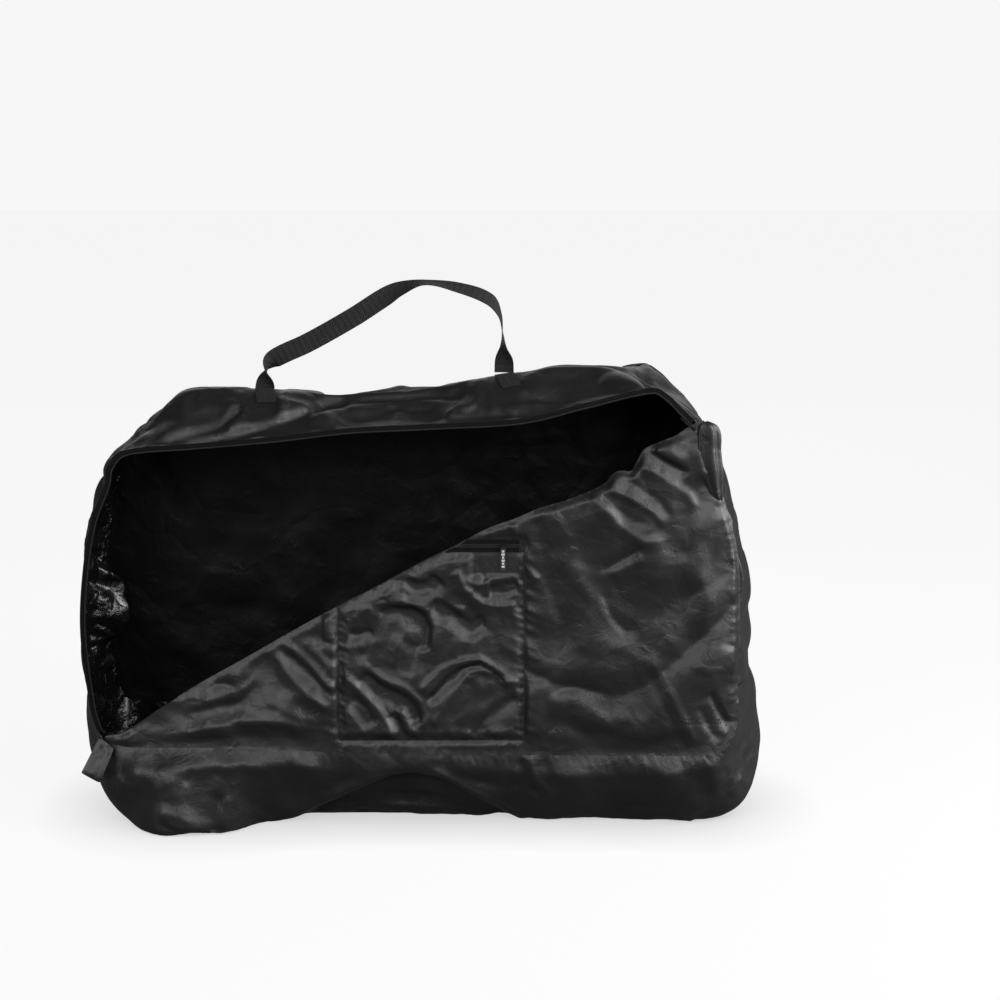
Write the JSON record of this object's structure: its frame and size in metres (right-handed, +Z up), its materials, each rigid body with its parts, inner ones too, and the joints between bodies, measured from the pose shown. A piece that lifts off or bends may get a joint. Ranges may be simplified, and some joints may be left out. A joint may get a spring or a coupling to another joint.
{
  "type": "soft bike travel bag",
  "caption": "Soft nylon travel bag for a bicycle, standing on its base with the front flap unzipped and folded in, with a zipped front pocket and a webbing handle.",
  "frame": {"origin": "on the floor under the middle of the bag", "axes": "+X along the bag's length, -Y the front with the pocket, +Z up"},
  "size_m": [1.3503, 0.4056, 1.0668],
  "materials": {
    "nylon": "satin black woven nylon, coated inside",
    "zip_tape": "matt black woven tape",
    "zip_coil": "satin black moulded coil",
    "webbing": "matt black woven webbing",
    "zip_metal": "satin black enamel",
    "zip_pull": "satin black moulded pull"
  },
  "bodies": {
    "bag": {"back_panel": "nylon", "back_seam_binding": "zip_tape", "base_gusset": "nylon", "front_panel": "nylon", "front_seam_binding": "zip_tape", "handle_tail_left": "webbing", "handle_tail_right": "webbing", "left_gusset": "nylon", "main_zip_stop_lower": "zip_coil", "main_zip_stop_upper": "zip_coil", "pocket_panel": "nylon", "pocket_zip_lower_coil": "zip_coil", "pocket_zip_lower_tape": "zip_tape", "pocket_zip_stop": "zip_coil", "pocket_zip_upper_coil": "zip_coil", "pocket_zip_upper_tape": "zip_tape", "right_gusset": "nylon", "rim_zip_coil": "zip_coil", "rim_zip_tape": "zip_tape", "top_gusset": "nylon", "zip_end_tab": "zip_tape"},
    "flap_lower_pleat": {"flap_lower": "nylon", "flap_lower_fold_roll": "nylon", "flap_lower_zip_coil_left": "zip_coil", "flap_lower_zip_coil_right": "zip_coil", "flap_lower_zip_tape_left": "zip_tape", "flap_lower_zip_tape_right": "zip_tape", "flap_pocket_corner": "nylon", "flap_pocket_zip_lower_coil": "zip_coil", "flap_pocket_zip_lower_tape": "zip_tape", "flap_pocket_zip_upper_coil": "zip_coil", "flap_pocket_zip_upper_tape": "zip_tape"},
    "flap_middle_pleat": {"flap_middle": "nylon", "flap_middle_fold_roll": "nylon", "flap_middle_zip_coil_left": "zip_coil", "flap_middle_zip_coil_right": "zip_coil", "flap_middle_zip_tape_left": "zip_tape", "flap_middle_zip_tape_right": "zip_tape"},
    "flap_tip_pleat": {"flap_tip": "nylon", "flap_tip_fold_roll": "nylon", "flap_tip_zip_coil_top": "zip_coil", "flap_tip_zip_tape_top": "zip_tape"},
    "handle": {"handle_loop": "webbing"},
    "main_slider": {"main_zip_slider": "zip_metal"},
    "main_pull": {"main_zip_pull": "zip_metal"},
    "pocket_slider": {"pocket_zip_slider": "zip_metal"},
    "pocket_pull": {"pocket_zip_pull": "zip_pull"}
  },
  "joints": [
    {"name": "flap_lower_fold", "type": "hinge", "parent": "bag", "child": "flap_lower_pleat", "pos_m": [-0.63, -0.147, 0.185], "axis": [0.8819, 0, 0.4715], "range_deg": [0, 180]},
    {"name": "flap_middle_fold", "type": "hinge", "parent": "flap_lower_pleat", "child": "flap_middle_pleat", "pos_m": [-0.53099, -0.141, -0.00019], "axis": [-0.8819, 0, -0.4715], "range_deg": [0, 180]},
    {"name": "flap_tip_fold", "type": "hinge", "parent": "flap_middle_pleat", "child": "flap_tip_pleat", "pos_m": [-0.63, -0.135, 0.185], "axis": [0.8819, 0, 0.4715], "range_deg": [0, 180]},
    {"name": "handle_swing", "type": "hinge", "parent": "bag", "child": "handle", "pos_m": [-0.31, 0, 0.85424], "axis": [0.9978, 0, 0.0658], "range_deg": [-45, 45]},
    {"name": "main_slider_travel", "type": "slide", "parent": "bag", "child": "main_slider", "axis": [-0.7165, 0, 0.6976], "range_m": [0, 0.03]},
    {"name": "main_pull_swing", "type": "hinge", "parent": "main_slider", "child": "main_pull", "pos_m": [0.50666, -0.15309, 0.81763], "axis": [-0.6976, 0, -0.7165], "range_deg": [0, 170]},
    {"name": "pocket_slider_travel", "type": "slide", "parent": "bag", "child": "pocket_slider", "axis": [-1, 0, 0], "range_m": [-0.02, 0.05]},
    {"name": "pocket_pull_swing", "type": "hinge", "parent": "pocket_slider", "child": "pocket_pull", "pos_m": [0.16, -0.15549, 0.57], "axis": [-1, 0, 0], "range_deg": [0, 170]}
  ],
  "couplings": [
    {"joint": "flap_middle_fold", "follows": "flap_lower_fold", "ratio": 1},
    {"joint": "flap_tip_fold", "follows": "flap_lower_fold", "ratio": 1}
  ]
}
